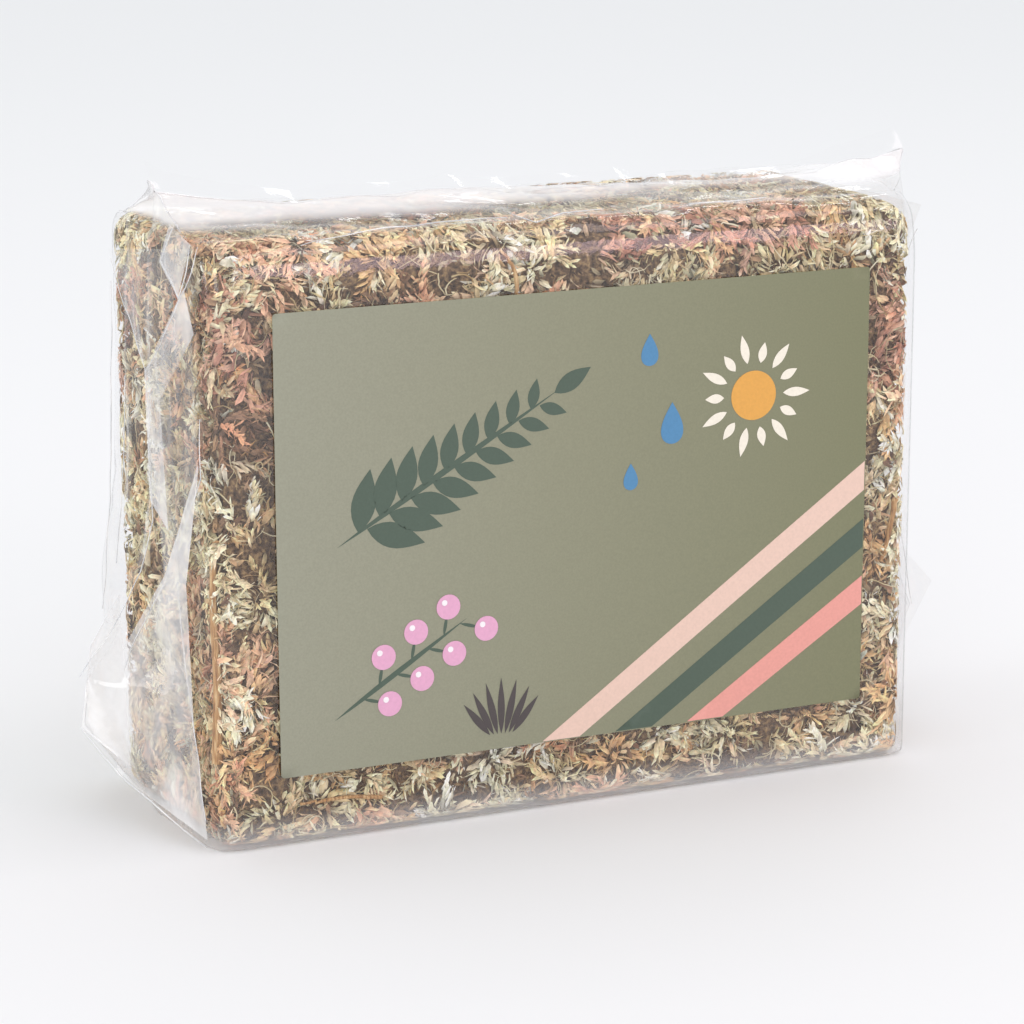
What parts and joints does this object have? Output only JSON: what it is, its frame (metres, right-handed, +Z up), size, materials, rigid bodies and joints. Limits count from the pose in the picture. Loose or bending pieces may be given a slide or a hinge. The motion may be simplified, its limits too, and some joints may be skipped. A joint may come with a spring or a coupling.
{
  "type": "bagged sphagnum moss block",
  "caption": "Pressed block of dried long-fibre sphagnum moss in a clear film bag with end folds, a top seal and a blank printed front label.",
  "frame": {"origin": "on the ground under the middle of the bag, bag standing on its narrow long side", "axes": "+X along the block's length, +Y from the labelled front to the back, +Z up"},
  "size_m": [0.188, 0.0562, 0.1278],
  "materials": {
    "pressed_buff_moss": "dry, matt, crumbly plant fibre",
    "rose_moss": "dry, matt plant fibre",
    "straw_moss": "dry, matt plant fibre",
    "brown_moss": "dry, matt plant fibre",
    "stem_wood": "dry bark",
    "clear_film": "clear thin polyethylene film, glossy, slightly milky",
    "printed_label": "printed satin paper"
  },
  "bodies": {
    "root": {"back_stem": "stem_wood", "bag": "clear_film", "brown_moss_1": "brown_moss", "brown_moss_2": "brown_moss", "brown_moss_3": "brown_moss", "brown_moss_4": "brown_moss", "brown_twig": "stem_wood", "label": "printed_label", "moss_block": "pressed_buff_moss", "red_twig": "stem_wood", "rose_moss_1": "rose_moss", "rose_moss_10": "rose_moss", "rose_moss_11": "rose_moss", "rose_moss_2": "rose_moss", "rose_moss_3": "rose_moss", "rose_moss_4": "rose_moss", "rose_moss_5": "rose_moss", "rose_moss_6": "rose_moss", "rose_moss_7": "rose_moss", "rose_moss_8": "rose_moss", "rose_moss_9": "rose_moss", "straw_moss_1": "straw_moss", "straw_moss_10": "straw_moss", "straw_moss_11": "straw_moss", "straw_moss_12": "straw_moss", "straw_moss_2": "straw_moss", "straw_moss_3": "straw_moss", "straw_moss_4": "straw_moss", "straw_moss_5": "straw_moss", "straw_moss_6": "straw_moss", "straw_moss_7": "straw_moss", "straw_moss_8": "straw_moss", "straw_moss_9": "straw_moss", "straw_stalk": "stem_wood", "woody_stem": "stem_wood"}
  },
  "joints": []
}
